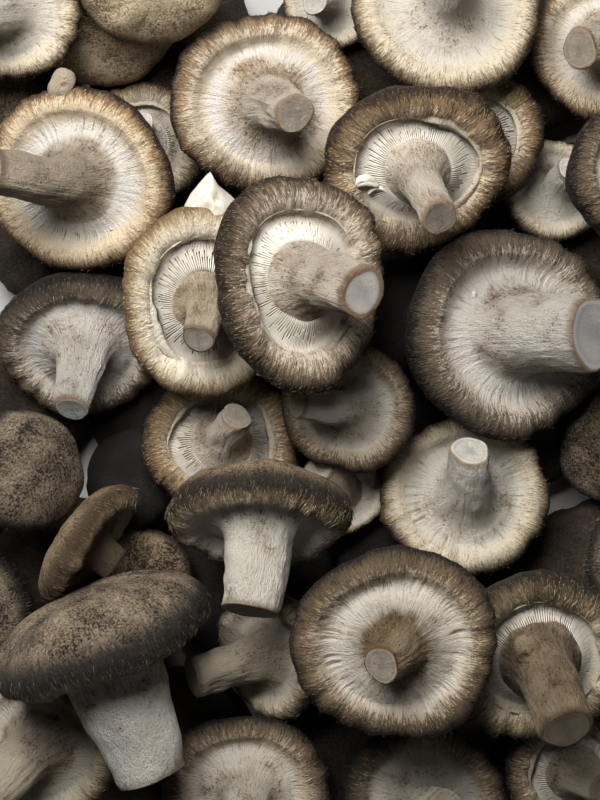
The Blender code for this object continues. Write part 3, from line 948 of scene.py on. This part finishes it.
def fibre_tree():
    numbers = {"Density": "Float", "Length": "Float", "Width": "Float", "Lift": "Float", "Seed": "Int"}
    tree = Tree("rim_fibres", {**numbers, "Material": "Material"})
    given = tree.given

    def named(name, kind):
        return tree.one("GeometryNodeInputNamedAttribute", {"Name": name}, data_type=kind)

    def compare(operation, value):
        inputs = {0: along, 1: value}
        return tree.one("FunctionNodeCompare", inputs, data_type="FLOAT", operation=operation)

    def chance(low, high, step):
        return tree.chance(low, high, tree.maths("ADD", given["Seed"], step))

    def vectors(operation, first, key, second):
        return tree.one("ShaderNodeVectorMath", {0: first, key: second}, operation=operation)

    along = named("along", "FLOAT")
    ends = {0: compare("GREATER_THAN", ON_RIM[0]), 1: compare("LESS_THAN", ON_RIM[1])}
    rim = tree.one("FunctionNodeBooleanMath", ends, operation="AND")
    where = {"Mesh": given[0], "Selection": rim, "Density": given["Density"], "Seed": given["Seed"]}
    points = tree.add("GeometryNodeDistributePointsOnFaces", where).outputs
    sizes = {"Vertices": 3, "Radius Top": 0.0, "Radius Bottom": 1.0, "Depth": 1.0}
    spike = tree.one("GeometryNodeMeshCone", sizes)
    lift = vectors("SCALE", points["Normal"], "Scale", given["Lift"])
    lean = vectors("ADD", named("grain", "FLOAT_VECTOR"), 1, lift)
    stray = {0: (-STRAY,) * 3, 1: (STRAY,) * 3}
    strayed = tree.one("FunctionNodeRandomValue", stray, data_type="FLOAT_VECTOR")
    heading = vectors("ADD", lean, 1, strayed)
    turned = tree.one("FunctionNodeAlignRotationToVector", {"Vector": heading}, axis="Z")
    broad = tree.maths("MULTIPLY", given["Width"], chance(0.5, 1.5, 3))
    long = tree.maths("MULTIPLY", given["Length"], chance(0.4, 1.3, 5))
    spikes = tree.scatter(points[0], spike, turned, tree.vector(broad, broad, long))
    mark = {"Geometry": spikes, "Name": "tint", "Value": chance(0, 1, 7)}
    tinted = tree.one("GeometryNodeStoreNamedAttribute", mark, data_type="FLOAT", domain="INSTANCE")
    whole = tree.add("GeometryNodeJoinGeometry", {0: tree.clad(tinted, given["Material"])})
    tree.put(whole.inputs[0], given[0])
    tree.put(tree.made, whole.outputs[0])
    return tree.tree


FIBRE_TREE = fibre_tree()
print("the fibre tree has", len(FIBRE_TREE.nodes), "nodes")

# %% [markdown]
# ## Growing the heap
# Each mushroom's parts are put together as one mesh, turned and moved to its place, and then given
# its fibres. Mushrooms in full view get the finest surface. Those of the bed, which the others hide,
# get a coarser one.

# %% Growing
def mesh_of(name, parts, move, turn):
    """One mesh from several sets of points, faces and marks, each with its own material."""
    points, faces, slots, marks, start = [], [], [], {"along": [], "around": [], "grain": []}, 0
    for (part_points, part_faces, part_marks), slot in parts:
        points.append(part_points)
        faces += [[corner + start for corner in face] for face in part_faces]
        slots += [slot] * len(part_faces)
        for key in marks:
            marks[key].append(part_marks[key])
        start += len(part_points)
    turning = np.array(turn)
    placed = (np.concatenate(points) @ turning.T + move) * MM
    mesh = bpy.data.meshes.new(name)
    mesh.from_pydata(placed.tolist(), [], faces)
    mesh.polygons.foreach_set("material_index", slots)
    mesh.polygons.foreach_set("use_smooth", [True] * len(faces))
    grain = np.concatenate(marks["grain"]) @ turning.T
    for key, kind, field, values in (
        ("along", "FLOAT", "value", np.concatenate(marks["along"])),
        ("around", "FLOAT_VECTOR", "vector", np.concatenate(marks["around"])),
        ("grain", "FLOAT_VECTOR", "vector", grain),
    ):
        attribute = mesh.attributes.new(key, kind, "POINT")
        attribute.data.foreach_set(field, values.astype(np.float32).ravel())
    mesh.update()
    return mesh


CRUMB_HEIGHT = 0.6  # as a share of its width


def crumb_part(shroom, at, size, form="lump"):
    """A small piece that lies on the gill side, at a place given as shares of the cap's radius."""
    chance = random.Random(f"{shroom.name} {at}")
    around, rows = 20, 13
    twist = chance.uniform(0, 6)
    angles = turns(around)
    radius = shroom.width / 2
    points = []
    for k in range(1, rows):
        a = math.pi * k / rows
        wave = 1 + 0.16 * np.cos(2 * angles + twist) + 0.06 * np.cos(3 * angles + k)
        out, up = math.sin(a), -CRUMB_HEIGHT * math.cos(a)
        points.append(polar(angles, out, up) * wave[:, None] * size)
    tip = CRUMB_HEIGHT * size
    points = np.concatenate([*points, [[0, 0, -tip], [0, 0, tip]]])
    x, y, z = points.T / size
    if form == "wedge":
        z = z * (1.3 - 0.7 * abs(x)) * (1 - 0.25 * y)
        points = np.stack([x * (1 - 0.78 * y), 1.15 * y, z], 1) * size
    if form == "curl":
        points = np.stack([1.35 * x, 0.5 * y - 0.75 * x * x + 0.2 * x, 0.8 * z + 0.25 * x], 1) * size
    points += np.array([at[0] * radius, at[1] * radius, at[2] * radius])
    faces = closed(rows - 1, around, len(points) - 2, len(points) - 1)
    zero = np.zeros((len(points), 3))
    return points, faces, {"along": np.full(len(points), 3.5), "around": zero, "grain": zero}


OWN, BLADES, PALE = 0, 1, 2  # the material slots of every mushroom
CRUMB_PLACES = {
    # where, how large in millimetres, whether it has the mushroom's own skin or is pale, and its form
    "thick_stem": [((-0.40, 0.34, 0.08), 1.0, PALE)],
    "round_veil": [
        ((-0.82, 0.43, 0.14), 0.9, PALE), ((-0.86, 0.1, 0.12), 0.6, PALE), ((0.5, -0.62, 0.15), 0.4, PALE)
    ],
    "wide_rim": [((-0.56, -0.1, 0.08), 3.4, PALE, "curl"), ((-0.42, -0.19, 0.08), 2.0, PALE, "curl")],
    "brown_stem": [((-0.2, 0.24, 0.42), 4.8, OWN)],
    "left_gold": [((-0.14, 1.0, 0.06), 4.4, OWN), ((0.35, -0.5, 0.1), 0.5, PALE)],
    "pale_torn_lip": [((0.1, 1.08, -0.1), 8.0, PALE, "wedge")],
}
# points round the axis and rows of them
FINEST, MIDDLING, COARSE = (256, 92), (168, 70), (72, 40)
FIBRE_SIZES = {"Length": 0.0022, "Width": 0.00011, "Lift": 0.07}
FIBRE_DENSITY = 1.5e6  # for each square metre of rim
HIDDEN_SHARE = 0.25  # how many of them a hidden mushroom has
APART = 3.7  # moves each mushroom's streaks to another stretch of the noise
PAINTS = ("dark_mushroom", "tan_mushroom", "pale_mushroom")


def grow(shroom, number):
    hidden = shroom.name.startswith(("bed", "deep"))
    around, rows = FINEST if shroom.name in HEROES else COARSE if hidden else MIDDLING
    parts = [(skin(shroom, around, rows), OWN)]
    if not shroom.veiled:
        parts.append((gills_of(shroom), BLADES))
        parts.append((ribbon_of(shroom, TORN[shroom.name]), OWN))
    for at, size, clad, *form in CRUMB_PLACES.get(shroom.name, []):
        parts.append((crumb_part(shroom, at, size, *form), clad))
    for part, _ in parts:
        part[2]["around"] = part[2]["around"] + np.array([0, 0, APART * number])
    mesh = mesh_of(shroom.name + "_grown", parts, PLACES[shroom.name], turn_of(shroom))
    for material in (FLESH[shroom.look], GILLS, CRUMBS):
        mesh.materials.append(material)
    density = FIBRE_DENSITY * FUZZ.get(shroom.name, USUAL_FUZZ) * (HIDDEN_SHARE if hidden else 1)
    values = {"Density": density, "Seed": 11 * number, "Material": FIBRES[shroom.look], **FIBRE_SIZES}
    whole = through(FIBRE_TREE, mesh, values)
    whole.name = shroom.name + "_grown"
    bpy.data.meshes.remove(mesh)
    thing = bpy.data.objects.new(shroom.name + "_grown", whole)
    bpy.context.scene.collection.objects.link(thing)
    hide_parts(shroom.name)
    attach(thing, "root")
    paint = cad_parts[shroom.name].data.materials[0].name.split(".")[0]
    paint if paint in PAINTS else "tan_mushroom"
    return sum(len(face.vertices) - 2 for face in whole.polygons)


triangles = {shroom.name: grow(shroom, number) for number, shroom in enumerate(ALL)}
print("triangles:", sum(triangles.values()), "the largest has", max(triangles.values()))

# %% [markdown]
# ## Floor, light and camera
# The heap lies on a plain pale floor. One broad lamp beyond its far edge, a little to the left, lights
# it softly at a slant, so the near end is dimmer and every stem has a soft shadow on its near side.
# The sky gives very little, which, with the painted shade on the bed below, leaves the gaps between
# the caps almost black. The camera looks straight down from 70 cm, with a long lens.

# %% The stage
FLOOR = 2  # half of its width, in metres
GAP = 0.0005  # from it up to the lowest mushroom
low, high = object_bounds()
floor_mesh = bpy.data.meshes.new("floor")
corners = [(-FLOOR, -FLOOR, 0), (FLOOR, -FLOOR, 0), (FLOOR, FLOOR, 0), (-FLOOR, FLOOR, 0)]
floor_mesh.from_pydata(corners, [], [(0, 1, 2, 3)])
floor = bpy.data.objects.new("floor", floor_mesh)
floor.location.z = low.z - GAP
bpy.context.scene.collection.objects.link(floor)
board = Finish("floor", rgb(160, 158, 154), 0.8)
floor_mesh.materials.append(board.material)


def lamp(name, place, aim, size, power):
    data = bpy.data.lights.new(name, "AREA")
    data.size, data.energy = size, power
    thing = bpy.data.objects.new(name, data)
    thing.location = place
    thing.rotation_euler = (Vector(aim) - Vector(place)).to_track_quat("-Z", "Y").to_euler()
    bpy.context.scene.collection.objects.link(thing)


lamp("key", (-0.15, 0.36, 0.62), (0, 0.03, 0.06), 0.4, 12.4)
lamp("fill", (0.30, -0.1, 0.7), (0, 0, 0.06), 0.3, 0.25)
world = bpy.data.worlds.new("world")
world.use_nodes = True
sky = world.node_tree.nodes["Background"]
sky.inputs["Color"].default_value = (1, 1, 1, 1)
sky.inputs["Strength"].default_value = 0.004
bpy.context.scene.world = world
bpy.context.scene.view_settings.view_transform = "Standard"

FIELD = 0.24  # the length of heap that the camera takes in, in metres
MIDDLE = 0.06  # how high the middle of the heap lies
DISTANCE = 0.7  # from there up to the camera
SENSOR = 24
camera = bpy.data.cameras.new("camera")
camera.sensor_fit = "VERTICAL"
camera.sensor_height = SENSOR
camera.lens = SENSOR * DISTANCE / FIELD
camera.clip_end = 10
eye = bpy.data.objects.new("camera", camera)
eye.location = (0, 0, MIDDLE + DISTANCE)
bpy.context.scene.collection.objects.link(eye)
bpy.context.scene.camera = eye
print("the heap spans", [round(value * 1000, 1) for value in high - low], "mm")
